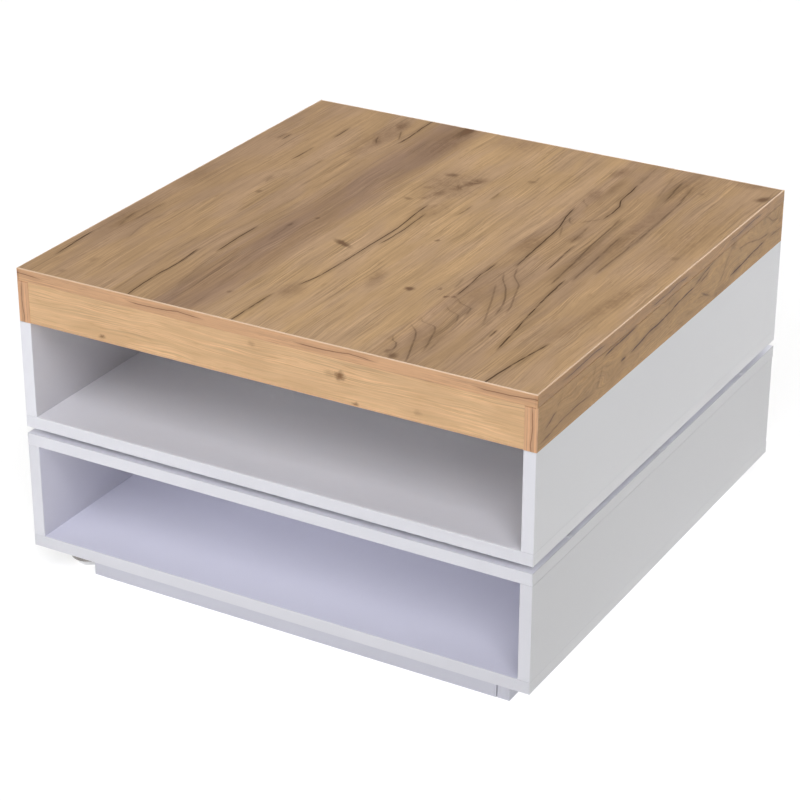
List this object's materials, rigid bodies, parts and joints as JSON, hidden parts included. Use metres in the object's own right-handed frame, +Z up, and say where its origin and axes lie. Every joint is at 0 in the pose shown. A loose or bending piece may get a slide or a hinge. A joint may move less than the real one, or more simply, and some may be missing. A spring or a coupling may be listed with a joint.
{
  "type": "swivel coffee table",
  "caption": "Square two-tier coffee table with open compartments, a wood-decor hood and an upper tier that swivels on a lower tier set on a recessed plinth.",
  "frame": {"origin": "on the floor under the middle of the table", "axes": "+Z up, -Y towards the open front that the picture shows, +X to the right seen from that front"},
  "size_m": [0.7, 0.7, 0.433],
  "materials": {
    "oak_top": "satin oak decor",
    "oak_apron_side": "satin oak decor",
    "oak_apron_front": "satin oak decor",
    "oak_band": "satin oak print",
    "white_board": "satin white melamine",
    "white_band": "satin white",
    "zinc_steel": "zinc plated",
    "beech_dowel": "raw",
    "pine_block": "raw",
    "cap_plastic": "satin",
    "ring_aluminium": "satin",
    "ball_steel": "polished",
    "foot_steel": "brushed",
    "foot_rubber": "matte"
  },
  "bodies": {
    "base": {"lower_top_board": "white_board", "lower_left_side": "white_board", "lower_right_side": "white_board", "lower_divider": "white_board", "lower_floor_board": "white_board", "plinth_left": "white_board", "plinth_right": "white_board", "plinth_front": "white_board", "plinth_back": "white_board", "lower_top_bands": "white_band", "lower_side_bands": "white_band", "lower_floor_bands": "white_band", "plinth_end_bands": "white_band", "lower_floor_side_screws": "zinc_steel", "lower_floor_divider_screws": "zinc_steel", "lower_top_side_screws": "zinc_steel", "lower_top_divider_screws": "zinc_steel", "plinth_block_upright_screws": "zinc_steel", "plinth_block_side_screws": "zinc_steel", "plinth_block_cross_screws": "zinc_steel", "inner_ring_screws": "zinc_steel", "inner_ring_washers": "zinc_steel", "support_foot_studs": "zinc_steel", "plinth_corner_blocks": "pine_block", "lower_top_screw_caps": "cap_plastic", "swivel_inner_ring": "ring_aluminium", "support_feet": "foot_steel", "support_foot_pads": "foot_rubber"},
    "upper_tier": {"top_board": "oak_top", "top_edge_bands": "oak_band", "left_apron": "oak_apron_side", "right_apron": "oak_apron_side", "apron_end_bands": "oak_band", "front_apron": "oak_apron_front", "back_apron": "oak_apron_front", "apron_bottom_bands": "oak_band", "upper_left_side": "white_board", "upper_right_side": "white_board", "upper_side_bands": "white_band", "upper_floor_board": "white_board", "upper_floor_bands": "white_band", "upper_divider": "white_board", "upper_floor_side_screws": "zinc_steel", "upper_floor_divider_screws": "zinc_steel", "side_apron_dowels": "beech_dowel", "top_side_dowels": "beech_dowel", "top_apron_dowels": "beech_dowel", "top_divider_dowels": "beech_dowel", "hood_corner_blocks": "pine_block", "hood_block_upright_screws": "zinc_steel", "hood_block_side_screws": "zinc_steel", "hood_block_cross_screws": "zinc_steel", "joining_plates": "zinc_steel", "joining_plate_screws": "zinc_steel", "swivel_outer_ring": "ring_aluminium", "outer_ring_screws": "zinc_steel"},
    "ball_set": {"swivel_balls": "ball_steel"}
  },
  "joints": [
    {"name": "tier_swivel", "type": "hinge", "parent": "base", "child": "upper_tier", "pos_m": [0, 0, 0.2165], "axis": [0, 0, 1], "continuous": true},
    {"name": "ball_orbit", "type": "hinge", "parent": "base", "child": "ball_set", "pos_m": [0, 0, 0.2165], "axis": [0, 0, 1], "continuous": true}
  ],
  "couplings": [
    {"joint": "ball_orbit", "follows": "tier_swivel", "ratio": 0.5075}
  ]
}
